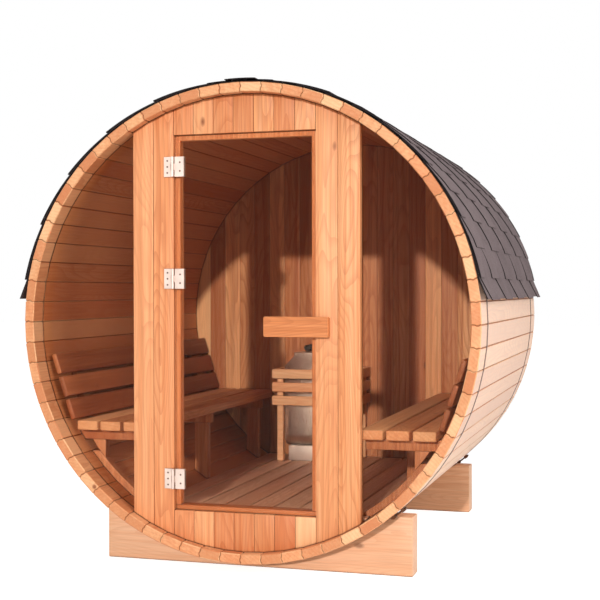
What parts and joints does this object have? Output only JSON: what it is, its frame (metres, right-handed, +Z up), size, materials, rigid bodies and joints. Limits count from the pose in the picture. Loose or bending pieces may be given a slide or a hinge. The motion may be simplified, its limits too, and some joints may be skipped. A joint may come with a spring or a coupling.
{
  "type": "barrel sauna",
  "caption": "Barrel sauna of cedar staves on two cradles, with a shingled roof shell, a glazed front with a hinged glass door, side benches, slatted floor and heater",
  "frame": {"origin": "on the ground, under the middle of the barrel", "axes": "+X to the right seen from the door, +Y to the back along the barrel, +Z up"},
  "size_m": [1.8618, 1.8, 1.8598],
  "materials": {
    "cedar_staves": "planed, oiled",
    "cradle_timber": "planed",
    "front_cedar": "planed, oiled",
    "interior_cedar": "planed",
    "floor_cedar": "planed",
    "bench_cedar": "planed",
    "shingles": "granule-coated felt",
    "band_steel": "brushed",
    "hinge_steel": "satin",
    "bronze_glass": "bronze-tinted, clear",
    "heater_steel": "brushed",
    "heater_stone": "broken",
    "heater_grey": "hammered"
  },
  "bodies": {
    "barrel": {"staves_sector_01": "cedar_staves", "staves_sector_02": "cedar_staves", "staves_sector_03": "cedar_staves", "staves_sector_04": "cedar_staves", "staves_sector_05": "cedar_staves", "staves_sector_06": "cedar_staves", "staves_sector_07": "cedar_staves", "staves_sector_08": "cedar_staves", "staves_sector_09": "cedar_staves", "staves_sector_10": "cedar_staves", "staves_sector_11": "cedar_staves", "staves_sector_12": "cedar_staves", "cradle_front": "cradle_timber", "cradle_rear": "cradle_timber", "band_front": "band_steel", "band_rear": "band_steel", "roof_crown": "shingles", "roof_right": "shingles", "roof_left": "shingles", "front_post_right": "front_cedar", "front_post_left": "front_cedar", "front_header": "front_cedar", "front_sill": "front_cedar", "door_threshold": "front_cedar", "door_stops": "front_cedar", "window_right": "bronze_glass", "window_left": "bronze_glass", "back_wall": "interior_cedar", "floor_deck": "floor_cedar", "floor_bearers": "floor_cedar", "bench_right_seat": "bench_cedar", "bench_right_supports": "bench_cedar", "backrest_right_slats": "bench_cedar", "backrest_right_battens": "bench_cedar", "bench_left_seat": "bench_cedar", "bench_left_supports": "bench_cedar", "backrest_left_slats": "bench_cedar", "backrest_left_battens": "bench_cedar", "heater_guard": "bench_cedar", "heater_body": "heater_steel", "heater_stones": "heater_stone", "heater_base": "heater_grey", "hinge_post_leaves": "hinge_steel"},
    "door": {"door_glass": "bronze_glass", "door_handle": "front_cedar", "hinge_door_leaves": "hinge_steel"}
  },
  "joints": [
    {"name": "door_hinge", "type": "hinge", "parent": "barrel", "child": "door", "pos_m": [-0.285, -0.866, 0.945], "axis": [0, 0, -1], "range_deg": [0, 110]}
  ]
}
